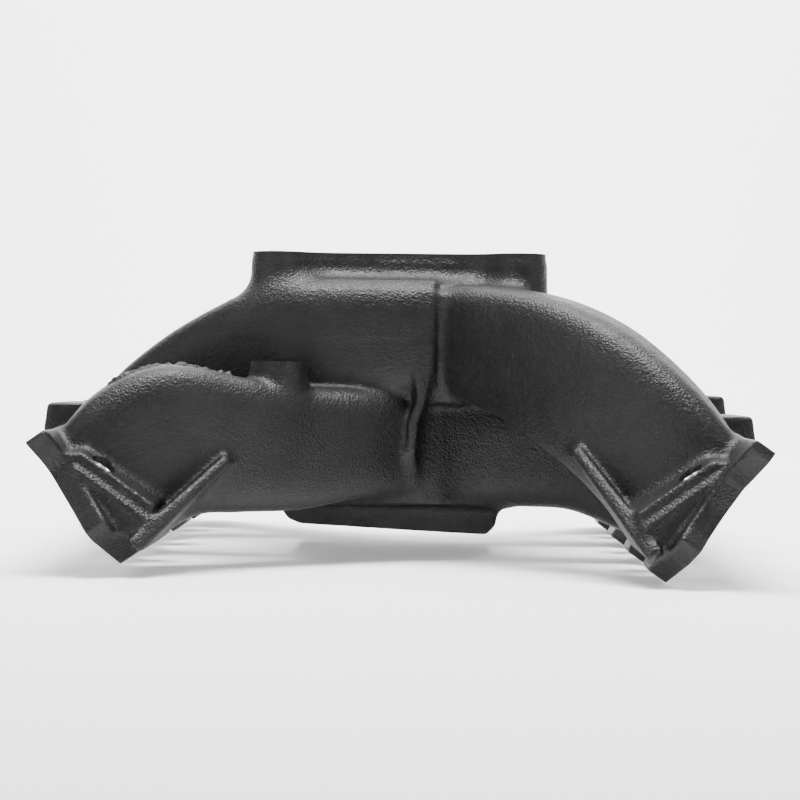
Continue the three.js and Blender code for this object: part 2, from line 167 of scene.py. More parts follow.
def between(outline, points):
    """A closed solid whose points are the flat outline's, placed once at each end."""
    count = len(outline)
    caps = tessellate_polygon([[Vector((a, b, 0)) for a, b in outline]])
    faces = [tuple(t) for t in caps] + [tuple(i + count for i in reversed(t)) for t in caps]
    faces += [(i, (i + 1) % count, (i + 1) % count + count, i + count) for i in range(count)]
    return consistent(np.array(points, float), faces)


def prism(outline, y0, y1):
    """An X-Z outline between two places along Y."""
    return between(outline, [(x, y, z) for y in (y0, y1) for x, z in outline])


def on_flange(along, up, height):
    """A point by its place along the engine, up the slope, and into the metal from the mating face."""
    return np.array([PORT_X, along, PORT_Z]) + SLOPE_UP * up - FACE_NORMAL * height


def plate(outline, depth, below):
    """A flange-face outline (along the engine, up the slope) given thickness above the mating face."""
    return between(outline, [on_flange(a, s, height) for height in (-below, depth) for a, s in outline])


def consistent(points, faces):
    """Give every face of a closed shape the same sense, then turn them all outward."""
    mesh = bmesh.new()
    verts = [mesh.verts.new(p) for p in points]
    for face in faces:
        mesh.faces.new([verts[i] for i in face])
    bmesh.ops.recalc_face_normals(mesh, faces=mesh.faces[:])
    mesh.verts.index_update()
    result = [tuple(v.index for v in face.verts) for face in mesh.faces]
    mesh.free()
    return points, outward(points, result)


def hull(points):
    """The convex solid with these corners."""
    mesh = bmesh.new()
    for point in points:
        mesh.verts.new(point)
    found = bmesh.ops.convex_hull(mesh, input=mesh.verts[:])
    spare = [v for v in found["geom_interior"] if isinstance(v, bmesh.types.BMVert)]
    bmesh.ops.delete(mesh, geom=spare, context="VERTS")
    bmesh.ops.recalc_face_normals(mesh, faces=mesh.faces[:])
    mesh.verts.index_update()
    corners = np.array([v.co[:] for v in mesh.verts])
    faces = [tuple(v.index for v in face.verts) for face in mesh.faces]
    mesh.free()
    return corners, outward(corners, faces)


def post(x, y, radius, z0, z1, sides=48, taper=0.0):
    angles = np.linspace(0, 2 * math.pi, sides, endpoint=False)
    rings = []
    for z, r in ((z0, radius + taper), (z1, radius)):
        rings.append(np.stack([x + r * np.cos(angles), y + r * np.sin(angles), np.full(sides, z)], 1))
    return loft(rings)


def box(x0, x1, y0, y1, z0, z1):
    return prism([(x0, z0), (x1, z0), (x1, z1), (x0, z1)], y0, y1)


def turned(shape, angle, place):
    """Rotate a shape about Y and move it."""
    points, faces = shape
    c, s = math.cos(angle), math.sin(angle)
    turn = np.array([[c, 0, s], [0, 1, 0], [-s, 0, c]])
    return points @ turn.T + np.array(place), faces

# ---------------------------------------------------------------- runners


# Stations: x outward, z, reach from plenum to port along the engine, yaw, tilt, passage height.
COURSES = {
    "upper_outer": (38, [
        (20, -47, 0.00, 70, 0, 48), (42, -49, 0.30, 50, 8, 52), (68, -55, 0.50, 44, 26, 60),
        (90, -66.5, 0.66, 36, 33, 65), (110, -81.5, 0.80, 30, 35, 65), (134, -104.5, 0.93, 18, 35, 62),
        (157.6, -131.5, 1.00, 0, 35, 54)]),
    "lower_outer": (62, [
        (-8, -103, 0.00, 30, 0, 44), (22, -103, 0.25, 30, 0, 48), (54, -105, 0.47, 32, 0, 55),
        (85, -102.5, 0.70, 32, 4, 61), (112, -100.5, 0.86, 26, 16, 69), (137, -112.5, 0.96, 12, 25, 67),
        (157.6, -131.5, 1.00, 0, 35, 54)]),
    "upper_cross": (74, [
        (-19, -47, 0.00, 0, 0, 52), (15, -47, 0.00, 0, 0, 52), (50, -47, 0.00, 0, 6, 52),
        (72, -52, 0.08, 0, 18, 52), (92, -62, 0.35, 0, 26, 54), (116, -78, 0.70, 0, 33, 56),
        (141, -101, 0.95, 0, 35, 57), (157.6, -131.5, 1.00, 0, 35, 54)]),
    "lower_cross": (48, [
        (-10, -107, 0.00, 0, 0, 46), (30, -107, 0.30, 0, 0, 46), (66, -107, 0.60, 0, 2, 50),
        (100, -105, 0.85, 0, 10, 58), (134, -116, 0.97, 0, 22, 61), (157.6, -131.5, 1.00, 0, 35, 54)]),
}
SECTION_POINTS = 56
STEPS_PER_STATION = 8
PASSAGE_SQUARENESS, WALL_SQUARENESS = 5.0, 3.6      # exponents of the rounded-rectangle sections


def catmull_rom(rows, steps):
    rows = np.array(rows, float)
    padded = np.vstack([2 * rows[0] - rows[1], rows, 2 * rows[-1] - rows[-2]])
    out = []
    for i in range(len(rows) - 1):
        p0, p1, p2, p3 = padded[i:i + 4]
        for k in range(steps):
            t = k / steps
            out.append(0.5 * (2 * p1 + (p2 - p0) * t + (2 * p0 - 5 * p1 + 4 * p2 - p3) * t ** 2
                              + (3 * p1 - p0 - 3 * p2 + p3) * t ** 3))
    out.append(rows[-1])
    return out


def section(half_width, half_height, squareness=PASSAGE_SQUARENESS):
    angles = np.linspace(0, 2 * math.pi, SECTION_POINTS, endpoint=False)
    power = 2 / squareness
    across = np.sign(np.cos(angles)) * np.abs(np.cos(angles)) ** power * half_width
    upright = np.sign(np.sin(angles)) * np.abs(np.sin(angles)) ** power * half_height
    return across, upright


def runner(course, port_y, end, wall, overrun):
    start, stations = COURSES[course]
    start_y = end * start
    rows = [(x, start_y + reach * (port_y - start_y), z, math.radians(yaw), math.radians(tilt), height)
            for x, z, reach, yaw, tilt, height in stations]
    path = catmull_rom(rows, STEPS_PER_STATION)
    rings = []
    for i, (x, y, z, yaw, tilt, height) in enumerate(path):
        centre = np.array([x, y, z])
        if i == 0 and wall == 0:
            centre[0] += END_WALL
        if i == len(path) - 1:
            centre = centre + FACE_NORMAL * overrun
        across = np.array([-end * math.sin(yaw), math.cos(yaw), 0])
        lean = math.sin(tilt)
        up = np.array([math.cos(yaw) * lean, end * math.sin(yaw) * lean, math.cos(tilt)])
        squareness = WALL_SQUARENESS if wall else PASSAGE_SQUARENESS
        a, b = section(PORT_WIDTH / 2 + wall, height / 2 + wall, squareness)
        rings.append(centre + a[:, None] * across + b[:, None] * up)
    return loft(rings)


def runners(wall, overrun):
    shapes = {}
    for bank in BANKS:
        for i, port_y in enumerate(bank.ports):
            outside = i in (0, 3)
            plane = "upper" if outside == bank.upper_outside else "lower"
            course = f"{plane}_{'outer' if outside else 'cross'}"
            shape = runner(course, port_y, -1 if i < 2 else 1, wall, overrun)
            shapes[(bank.name, i)] = mirrored(shape, bank)
    return shapes

# ---------------------------------------------------------------- distance field


class Field:
    """Signed distance on a regular grid, joined and cut with soft edges."""

    def __init__(self, low, high):
        self.low = np.floor(np.array(low) / VOXEL).astype(int)
        self.high = np.ceil(np.array(high) / VOXEL).astype(int)
        self.far = BAND * VOXEL
        self.values = np.full(self.high - self.low + 1, self.far, np.float32)

    def distance(self, shape):
        points, faces = shape
        tris = [f for f in faces if len(f) == 3]
        quads = [f for f in faces if len(f) == 4]
        grid = vdb.FloatGrid.createLevelSetFromPolygons(
            np.asarray(points, np.float32),
            np.asarray(tris, np.uint32).reshape(-1, 3),
            np.asarray(quads, np.uint32).reshape(-1, 4),
            transform=vdb.createLinearTransform(voxelSize=VOXEL),
            halfWidth=float(BAND))
        margin = BAND + 2
        first = np.maximum(np.floor(points.min(0) / VOXEL).astype(int) - margin, self.low)
        last = np.minimum(np.ceil(points.max(0) / VOXEL).astype(int) + margin, self.high)
        block = np.empty(last - first + 1, np.float32)
        grid.copyToArray(block, ijk=tuple(int(v) for v in first))
        where = tuple(slice(a, b + 1) for a, b in zip(first - self.low, last - self.low))
        return where, block

    def add(self, shape, blend=0.0):
        where, block = self.distance(shape)
        self.values[where] = soft_min(self.values[where], block, blend)

    def join(self, other, blend):
        self.values = soft_min(self.values, other.values, blend)

    def hollow(self, other, blend):
        self.values = -soft_min(-self.values, other.values, blend)

    def soften(self):
        """Round the crisp edges by about one grid step."""
        for axis in range(3):
            v = np.moveaxis(self.values, axis, 0)
            v[1:-1] = 0.25 * v[:-2] + 0.5 * v[1:-1] + 0.25 * v[2:]

    def mesh(self, name):
        grid = vdb.FloatGrid(self.far)
        grid.copyFromArray(self.values, ijk=tuple(int(v) for v in self.low))
        grid.transform = vdb.createLinearTransform(voxelSize=VOXEL)
        points, quads = grid.convertToQuads(isovalue=0.0)
        mesh = bpy.data.meshes.new(name)
        mesh.from_pydata((points * MM).tolist(), [], quads.tolist())
        return mesh


def soft_min(a, b, blend):
    if blend <= 0:
        return np.minimum(a, b)
    overlap = np.maximum(blend - np.abs(a - b), 0) / blend
    return np.minimum(a, b) - overlap * overlap * (blend / 4)


# ---------------------------------------------------------------- cast outside

# Sizes of the soft joins between cast shapes.
PAD_BLEND, RUNNER_BLEND, END_FACE_BLEND, PAN_BLEND = 13, 8, 7, 6
RIB_BLEND, BOSS_BLEND, FLANGE_BLEND, SEAT_BLEND = 6, 5, 5, 2
RAIL_BLEND, PASSAGE_BLEND, PLENUM_BLEND, PASSAGE_LIP_BLEND, FLASH_BLEND = 3, 5, 4, 1.5, 1.0

BODY_FLOOR, BODY_ROOF = -136, -18            # the upright middle of the body
UPPER_FLOOR, UPPER_ROOF = -72, -27           # inside heights of the two plenums
LOWER_FLOOR, LOWER_ROOF = -142, -80
PAST_FACE = 8                                # passages run this far past the mating face
SHORT_OF_FACE = -3                           # and their walls stop short of it, inside the plate


def column(outline, z0, z1, draft=0.0):
    """An X-Y outline between two heights, a little larger at the foot for draft."""
    outward_by = [(p - np.mean(outline, 0)) for p in np.array(outline)]
    low = [(*(p + draft * away / np.linalg.norm(away)), z0) for p, away in zip(outline, outward_by)]
    high = [(*p, z1) for p in outline]
    return between(outline, low + high)


def arc(cx, cy, radius, start, end, steps=10):
    angles = np.radians(np.linspace(start, end, steps + 1))
    return [(cx + radius * math.cos(a), cy + radius * math.sin(a)) for a in angles]


PAD_EDGE = 70.0                              # front and rear edges between the corner bosses


def both_ends(front_half):
    """The front half of a plan, repeated at the rear."""
    return front_half + [(x, -y) for x, y in reversed(front_half)]


def pad_outline():
    """Corner bosses run into the recessed front and rear edges with soft hollows."""
    hollow = [(-57.5, -82.6), (-52.5, -78.6), (-47, -74.2), (-41, -71.2), (-34, -PAD_EDGE)]
    outline = arc(-STUD_X, -STUD_Y, PAD_RADIUS, 180, 296) + hollow
    outline += [(-x, y) for x, y in reversed(hollow)]
    outline += arc(STUD_X, -STUD_Y, PAD_RADIUS, 244, 360)
    return outline + [(-x, -y) for x, y in outline]


# Divider rib, from the top down: left side, right side, height, and how far its front edge stands out.
RIB_LEVELS = [(10, 17, -52, 93), (10.5, 15.5, -79, 96), (6.5, 11.5, -91, 96), (5.5, 10, -108, 94),
              (6, 9.5, -124, 82)]
RIB_ROOT = 66                                # inside the wall of the plenum


def divider_rib(end):
    """The slim upright where the left bank's walls end, leaning to the left as it goes down."""
    pieces = []
    for (l0, r0, z0, y0), (l1, r1, z1, y1) in zip(RIB_LEVELS, RIB_LEVELS[1:]):
        corners = [(l0, y0, z0), (r0, y0, z0), (l1, y1, z1), (r1, y1, z1)]
        pieces.append(hull([(x, end * y, z) for x, y, z in corners]
                           + [(x, end * RIB_ROOT, z) for x, y, z in corners]))
    return pieces


def body_field(low, high, tubes):
    """Runners, plenum body, pad and pan, blended with generous cast fillets."""
    body = Field(low, high)
    middle = [(-60, -72), (-50, -80), (24, -80), (60, -64)]
    body.add(column(both_ends(middle), BODY_FLOOR, BODY_ROOF))
    for shape in tubes.values():
        body.add(shape, RUNNER_BLEND)
    pan = [(-67, -134), (-60, -145), (-53, -148), (49, -153), (54, -148), (56, -134)]
    body.add(prism(pan, -64, 64), PAN_BLEND)
    body.add(column(pad_outline(), -34, 4, draft=1.5), PAD_BLEND)
    body.add(box(14, 34, -88, 88, -80, -24), END_FACE_BLEND)
    upright = Field(low, high)
    for end in (-1, 1):
        for piece in divider_rib(end):
            upright.add(piece)
    body.join(upright, RIB_BLEND)
    for end in (-1, 1):
        boss = post(BOSS_X, end * BOSS_Y, BOSS_RADIUS, -86, BOSS_TOP + 2, taper=1.0)
        body.add(boss, BOSS_BLEND)
    return body


def flange_outline(bank):
    first, last = bank.ports[0], bank.ports[3]
    points = [(first - ahead, up) for ahead, up in bank.front_edge]
    for i, port in enumerate(bank.ports):
        points += [(port - 14, bank.foot), (port + 14, bank.foot)]
        if i < 3:
            points += [(port + 34, -24), (port + BORE_SPACING - 34, -24)]
    points += [(last + behind, up) for behind, up in reversed(REAR_EDGE)]
    return points


SEAT = np.array([(153.5, -105.5), (117.0, -131.5)])        # bolt seat line, from the flange inward
SEAT_NORMAL = np.array([-0.58, 0.815])
SEAT_FRONT = 33.0                            # front of an end seat, past the end port


def seat_block(y0, y1, lift):
    """A bolt seat between two places along the engine; the second one is lifted, for draft."""
    foot = [(126, -146), (160, -122), (167, -107)]
    corners = [(x, y0, z) for x, z in [*SEAT, *foot]]
    corners += [(x, y1, z) for x, z in [*(SEAT + SEAT_NORMAL * lift), *foot]]
    return hull(corners)


def end_boss(bank, port, end):
    """The bolt seat at one end of a flange, its lip, the scoop under it and the rib beside it."""
    def along(ahead):
        return port + end * ahead

    pieces = [seat_block(along(SEAT_FRONT), along(4), 3.5)]
    lip = [*(SEAT - SEAT_NORMAL * 7.5), *(SEAT - SEAT_NORMAL * 11)]
    lip = [(x - 1.5, z) for x, z in lip]
    pieces.append(hull([(x, along(ahead), z) for x, z in lip for ahead in (SEAT_FRONT + 4, 15)]))
    # the wall under the scoop: across, height, and how far it stands in front of the seat
    floor = [(156, -110, 0), (118, -136, 0), (156, -122, 2), (146, -136, 5), (136, -146, 6),
             (126, -148, 5), (120, -141, 4)]
    pieces.append(hull([(x, along(ahead), z) for x, z, proud in floor
                        for ahead in (SEAT_FRONT + proud, 12)]))
    top = np.array(bank.rib_top, float)
    foot = np.array([129.0, -147.5])
    run = (foot - top) / np.linalg.norm(foot - top)
    side = np.array([run[1], -run[0]])
    corners = []
    for point, front, thickness in ((top, bank.rib_depth, 5.5), (foot, SEAT_FRONT + 13, 9.0)):
        for x, z in (point, point + side * thickness):
            corners += [(x, along(front), z), (x, along(min(front, 0) - 30), z)]
    pieces.append(hull(corners))
    return pieces


def flange_field(low, high, bank):
    """One flange with its bolt seats, rail bosses and ribs, kept crisper than the body."""
    field = Field(low, high)
    field.add(mirrored(plate(flange_outline(bank), FLANGE_THICKNESS, 5), bank))
    for i, top in enumerate(bank.rail_tops):
        outline = [(161, top), (180.5, top), (182.5, top - 14), (166, -122), (150, -112)]
        block = prism(outline, bank.ports[i] + 24, bank.ports[i + 1] - 24)
        field.add(mirrored(block, bank), RAIL_BLEND)
    for y in bank.bolts()[1:4]:
        field.add(mirrored(seat_block(y - 10, y + 10, 0), bank), RAIL_BLEND)
    for port, end in ((bank.ports[0], -1), (bank.ports[3], 1)):
        for piece in end_boss(bank, port, end):
            field.add(mirrored(piece, bank), SEAT_BLEND)
    return field


def slot(side, z0, z1):
    outline = arc(side * BARREL_X, BARREL_Y, BARREL_RADIUS, 0, 180, 24)
    outline += arc(side * BARREL_X, -BARREL_Y, BARREL_RADIUS, 180, 360, 24)
    return column(outline, z0, z1)


def cut_passages(field):
    """The two plenums and the eight passages, hollowed with soft inner corners."""
    inside = Field(field.low * VOXEL, field.high * VOXEL)
    for shape in runners(0, PAST_FACE).values():
        inside.add(shape, PASSAGE_BLEND)
    inside.add(slot(1, UPPER_FLOOR, 10), PLENUM_BLEND)
    inside.add(slot(-1, LOWER_FLOOR, 10), PLENUM_BLEND)
    upper = [(4.5, -69), (26, -69), (49, -56)]
    inside.add(column(both_ends(upper), UPPER_FLOOR, UPPER_ROOF), PLENUM_BLEND)
    lower = [(-51, -60), (-43, -70), (22, -70), (49, -58)]
    inside.add(column(both_ends(lower), LOWER_FLOOR + 12, LOWER_ROOF), PLENUM_BLEND)
    inside.add(box(-51, 51, -59, 59, LOWER_FLOOR, LOWER_ROOF), PLENUM_BLEND)
    field.hollow(inside, PASSAGE_LIP_BLEND)


def flash():
    """Crumbly casting flash left along the crown of the front left runner."""
    rng = np.random.default_rng(7)
    points, _ = runner("lower_outer", BANKS[0].ports[0], -1, WALL, SHORT_OF_FACE)
    rings = points.reshape(-1, SECTION_POINTS, 3)
    crown = rings[:, SECTION_POINTS // 4]
    crown = crown[(crown[:, 0] > 84) & (crown[:, 0] < 147)]
    path = []
    for a, b in zip(crown, crown[1:]):
        count = max(1, int(np.linalg.norm(b - a) / 1.6))
        path += [a + (b - a) * k / count for k in range(count)]
    pieces = []
    for place in path:
        if rng.random() < 0.12:
            continue
        height = rng.uniform(0.5, 2.3)
        width = rng.uniform(0.8, 1.7)
        shift = rng.normal(0, 0.5, 2)
        x, y, z = place + (shift[0], shift[1], 0)
        pieces.append(box(x - 1.2, x + 1.2, y - width, y + width, z - 3, z + height))
    return [mirrored(piece, BANKS[0]) for piece in pieces]


def cast_mesh():
    low, high = (-198, -238, -174), (198, 238, 8)
    body = body_field(low, high, runners(WALL, SHORT_OF_FACE))
    for bank in BANKS:
        body.join(flange_field(low, high, bank), FLANGE_BLEND)
    cut_passages(body)
    body.soften()
    for piece in flash():
        body.add(piece, FLASH_BLEND)
    return body.mesh("manifold_casting_fine")

# ---------------------------------------------------------------- machining


def mesh_object(name, shapes, material=None):
    mesh = bpy.data.meshes.new(name)
    points, faces, base = [], [], 0
    for shape_points, shape_faces in shapes:
        points += (np.asarray(shape_points) * MM).tolist()
        faces += [tuple(int(i) + base for i in face) for face in shape_faces]
        base += len(shape_points)
    mesh.from_pydata(points, [], faces)
    if material:
        mesh.materials.append(material)
    obj = bpy.data.objects.new(name, mesh)
    bpy.context.scene.collection.objects.link(obj)
    return obj


def beyond_flange():
    """The space outside a mating plane."""
    outline = [(-260, -60), (260, -60), (260, 60), (-260, 60)]
    return plate(outline, -30, 0)


def port_loop(margin):
    a, b = section(PORT_WIDTH / 2 + margin, PORT_HEIGHT / 2 + margin)
    return list(zip(a, b))


def port_ring(port_y, profile):
    """A closed (margin round the port, depth below the mating face) profile, swept round a port."""
    rings = [[on_flange(port_y + a, s, depth) for a, s in port_loop(margin)]
             for margin, depth in profile]
    points = np.concatenate(rings)
    return points, outward(points, tube_faces(len(rings), len(rings[0])))


def bore(y, radius, h0, h1, bank, flare=0.0):
    place = (BOLT_X, y, BOLT_Z)
    cutter = post(0, 0, radius + flare, h0, h1, taper=-flare)
    return mirrored(turned(cutter, -BOLT_ANGLE, place), bank)


def boolean(target, cutter):
    modifier = target.modifiers.new("cut", "BOOLEAN")
    modifier.operation = "DIFFERENCE"
    modifier.object = cutter
    modifier.solver = "MANIFOLD"
    modifier.material_mode = "TRANSFER"
    with bpy.context.temp_override(object=target, active_object=target):
        bpy.ops.object.modifier_apply(modifier=modifier.name)
    bpy.data.objects.remove(cutter)


INSERT_HOLE, BOLT_HOLE, PLUG_HOLE = 5.8, 5.0, 8.8     # radii
SPOT_FACE, BOLT_CHAMFER = 6.7, 1.0
GROOVE_PROFILE = [(6.4, -2), (6.4, 3), (2.2, 3), (2.2, -2)]


def machined(casting):
    """Cut the machined faces and holes; each cut face takes the cutter's material."""
    faces = [box(-110, 110, -110, 110, 0, 30)]
    faces += [mirrored(beyond_flange(), bank) for bank in BANKS]
    faces += [post(BOSS_X, end * BOSS_Y, BOSS_RADIUS + 0.3, BOSS_TOP, BOSS_TOP + 6) for end in (-1, 1)]
    boolean(casting, mesh_object("faces_cut", faces, BARE))
    holes = [post(x, y, INSERT_HOLE, -17, 6) for x in (-STUD_X, STUD_X) for y in (-STUD_Y, STUD_Y)]
    for bank in BANKS:
        holes += [bore(y, BOLT_HOLE, -60, -1, bank) for y in bank.bolts()]
        holes += [mirrored(port_ring(y, GROOVE_PROFILE), bank) for y in bank.ports]
    holes += [post(BOSS_X, end * BOSS_Y, PLUG_HOLE, BOSS_TOP - 14, BOSS_TOP + 4) for end in (-1, 1)]
    boolean(casting, mesh_object("holes_cut", holes, BARE))
    seats = [bore(y, SPOT_FACE, -2.2, 40, bank) for bank in BANKS for y in bank.bolts()]
    boolean(casting, mesh_object("seats_cut", seats, COATED))
    rims = [bore(y, BOLT_HOLE, -3.4, -1.9, bank, flare=BOLT_CHAMFER)
            for bank in BANKS for y in bank.bolts()]
    boolean(casting, mesh_object("rims_cut", rims, BARE))
    fine = bmesh.new()
    fine.from_mesh(casting.data)
    bmesh.ops.dissolve_degenerate(fine, dist=1e-6, edges=fine.edges[:])
    fine.to_mesh(casting.data)
    fine.free()
    casting.data.validate()


# ---------------------------------------------------------------- materials


class Look:
    """A Principled material with procedural colour, roughness and bump in object space."""

    def __init__(self, name, color, rough, metal, shine=0.5):
        self.material = bpy.data.materials.new(name)
        self.material.use_nodes = True
        self.tree = self.material.node_tree
        self.shader = self.tree.nodes["Principled BSDF"]
        self.shader.inputs["Base Color"].default_value = (*color, 1)
        self.shader.inputs["Roughness"].default_value = rough
        self.shader.inputs["Metallic"].default_value = metal
        self.shader.inputs["Specular IOR Level"].default_value = shine
        self.place = self.tree.nodes.new("ShaderNodeTexCoord").outputs["Object"]
        self.normal = None

    def link(self, output, node, socket):
        self.tree.links.new(output, node.inputs[socket])

    def noise(self, size, detail=3.0, rough=0.55):
        """Noise whose blobs are about size millimetres across."""
        node = self.tree.nodes.new("ShaderNodeTexNoise")
        node.inputs["Scale"].default_value = 1 / (size * MM)
        node.inputs["Detail"].default_value = detail
        node.inputs["Roughness"].default_value = rough
        self.link(self.place, node, "Vector")
        return node.outputs["Fac"]

    def grains(self, size):
        node = self.tree.nodes.new("ShaderNodeTexVoronoi")
        node.inputs["Scale"].default_value = 1 / (size * MM)
        self.link(self.place, node, "Vector")
        return node.outputs["Distance"]

    def lines(self, pitch, direction, distortion):
        node = self.tree.nodes.new("ShaderNodeTexWave")
        node.bands_direction = direction
        node.inputs["Scale"].default_value = math.pi / (10 * pitch * MM)
        node.inputs["Distortion"].default_value = distortion
        node.inputs["Detail"].default_value = 2
        self.link(self.place, node, "Vector")
        return node.outputs["Fac"]

    def spread(self, value, low, high, to_low=0.0, to_high=1.0):
        node = self.tree.nodes.new("ShaderNodeMapRange")
        numbers = {"From Min": low, "From Max": high, "To Min": to_low, "To Max": to_high}
        for socket, number in numbers.items():
            node.inputs[socket].default_value = number
        self.link(value, node, "Value")
        return node.outputs["Result"]

    def convex(self, low, high):
        """How much an edge stands proud, from the shape itself."""
        node = self.tree.nodes.new("ShaderNodeNewGeometry")
        return self.spread(node.outputs["Pointiness"], low, high)

    def mix(self, factor, first, second):
        node = self.tree.nodes.new("ShaderNodeMix")
        node.data_type = "RGBA"
        for index, value in ((6, first), (7, second)):
            if isinstance(value, tuple):
                node.inputs[index].default_value = (*value, 1)
            else:
                self.tree.links.new(value, node.inputs[index])
        self.tree.links.new(factor, node.inputs[0])
        return node.outputs[2]

    def blotches(self, size, dark, light):
        """Two tones in soft patches of about size millimetres."""
        return self.mix(self.spread(self.noise(size, 4), 0.35, 0.7), dark, light)

    def color(self, output):
        self.link(output, self.shader, "Base Color")

    def roughness(self, output):
        self.link(output, self.shader, "Roughness")

    def bump(self, height, depth, strength=1.0):
        """Add relief of the given depth in millimetres to what is there already."""
        node = self.tree.nodes.new("ShaderNodeBump")
        node.inputs["Distance"].default_value = depth * MM
        node.inputs["Strength"].default_value = strength
        self.link(height, node, "Height")
        if self.normal:
            self.link(self.normal, node, "Normal")
        self.normal = node.outputs["Normal"]
        self.link(self.normal, self.shader, "Normal")


def coated_look():
    look = Look("coated_casting", (0.006, 0.006, 0.0065), 0.4, 0.0, shine=0.3)
    blotch = look.blotches(22, (0.0035, 0.0035, 0.004), (0.0075, 0.0073, 0.0077))
    speck = look.mix(look.spread(look.noise(1.1, 2), 0.62, 0.74), blotch, (0.016, 0.016, 0.017))
    # Painted highlight: every proud edge is painted a lighter grey, whatever way the light falls on it.
    look.color(look.mix(look.convex(0.53, 0.62), speck, (0.03, 0.03, 0.032)))
    look.roughness(look.spread(look.noise(6, 5, 0.65), 0.3, 0.7, 0.38, 0.54))
    look.bump(look.noise(14, 2), 0.5, 0.25)
    look.bump(look.noise(2.6, 3, 0.6), 0.6, 0.7)
    look.bump(look.grains(1.2), 0.4, 0.7)
    look.bump(look.noise(0.6, 2), 0.1, 0.5)
    return look.material


def machined_look():
    look = Look("bare_aluminium", (0.7, 0.7, 0.71), 0.3, 1.0)
    look.color(look.blotches(9, (0.56, 0.56, 0.57), (0.74, 0.74, 0.75)))
    look.roughness(look.spread(look.noise(2.2, 4), 0.3, 0.7, 0.22, 0.42))
    look.bump(look.lines(0.9, "DIAGONAL", 1.5), 0.03, 0.5)
    look.bump(look.noise(0.5, 2), 0.02, 0.4)
    return look.material


def steel_look():
    look = Look("plug_steel", (0.5, 0.5, 0.5), 0.35, 1.0)
    look.color(look.blotches(3, (0.36, 0.355, 0.35), (0.56, 0.56, 0.56)))
    look.roughness(look.spread(look.noise(1.4, 4), 0.3, 0.7, 0.25, 0.48))
    look.bump(look.lines(0.5, "Z", 0.8), 0.02, 0.4)
    look.bump(look.noise(0.8, 3), 0.03, 0.4)
    return look.material


def rubber_look():
    look = Look("seal_rubber", (0.02, 0.018, 0.017), 0.7, 0.0)
    look.color(look.blotches(2.5, (0.014, 0.013, 0.012), (0.032, 0.029, 0.027)))
    look.roughness(look.spread(look.noise(1.2, 3), 0.3, 0.7, 0.55, 0.8))
    look.bump(look.noise(0.7, 3), 0.05, 0.5)
    return look.material


def paper_look():
    look = Look("studio_paper", (0.92, 0.92, 0.92), 0.9, 0.0)
    look.color(look.mix(look.noise(3, 4), (0.92, 0.92, 0.92), (0.96, 0.96, 0.96)))
    look.shader.inputs["Emission Color"].default_value = (1, 1, 1, 1)
    look.shader.inputs["Emission Strength"].default_value = 0.35
    look.bump(look.noise(0.8, 3), 0.04, 0.3)
    return look.material


COATED = coated_look()
BARE = machined_look()
STEEL = steel_look()
RUBBER = rubber_look()

casting = bpy.data.objects.new("casting", cast_mesh())
bpy.context.scene.collection.objects.link(casting)
casting.data.materials.append(COATED)
machined(casting)
casting.data.polygons.foreach_set("use_smooth", [True] * len(casting.data.polygons))
casting.data.set_sharp_from_angle(angle=math.radians(38))
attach(casting, "root")
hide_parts("manifold_casting")
print("casting faces", len(casting.data.polygons))

# ---------------------------------------------------------------- small pieces


def lathe(profile, sides=64):
    """A closed (radius, height) outline turned about Z."""
    angles = np.linspace(0, 2 * math.pi, sides, endpoint=False)
    points = np.array([(r * math.cos(a), r * math.sin(a), z) for r, z in profile for a in angles])
    return points, outward(points, tube_faces(len(profile), sides))


def thread(radius, pitch, depth, z0, z1):
    """The teeth of a thread along a straight side, as (radius, height) points going up."""
    teeth = int((z1 - z0) / pitch)
    points = []
    for k in range(teeth):
        base = z0 + (z1 - z0) * k / teeth
        points.append((radius, base))
        points += [(radius + depth, base + pitch * part) for part in (0.45, 0.55)]
    return points + [(radius, z1)]


def finish_piece(obj, node):
    obj.data.polygons.foreach_set("use_smooth", [True] * len(obj.data.polygons))
    obj.data.set_sharp_from_angle(angle=math.radians(30))
    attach(obj, "root")
    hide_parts(node)


INSERT_OUTER, INSERT_INNER, INSERT_LENGTH, INSERT_SINK = 5.5, 3.5, 16.0, 0.3


def carb_insert(x, y, node):
    """A threaded sleeve for one carburettor stud, with chamfered ends."""
    top, low = -INSERT_SINK, -INSERT_LENGTH
    profile = [(INSERT_INNER + 0.7, low), (INSERT_INNER, low + 0.7)]
    profile += thread(INSERT_INNER, 1.41, 0.45, low + 1.0, top - 1.0)
    profile += [(INSERT_INNER, top - 0.8), (INSERT_INNER + 0.8, top), (INSERT_OUTER - 0.4, top)]
    profile += [(INSERT_OUTER, top - 0.4), (INSERT_OUTER, low + 0.4), (INSERT_OUTER - 0.4, low)]
    points, faces = lathe(profile)
    obj = mesh_object(node + "_fine", [(points + np.array([x, y, 0]), faces)], STEEL)
    finish_piece(obj, node)


PLUG_RADIUS, PLUG_LENGTH, PLUG_HEX, PLUG_HEX_DEPTH = 8.5, 12.0, 4.6, 7.0


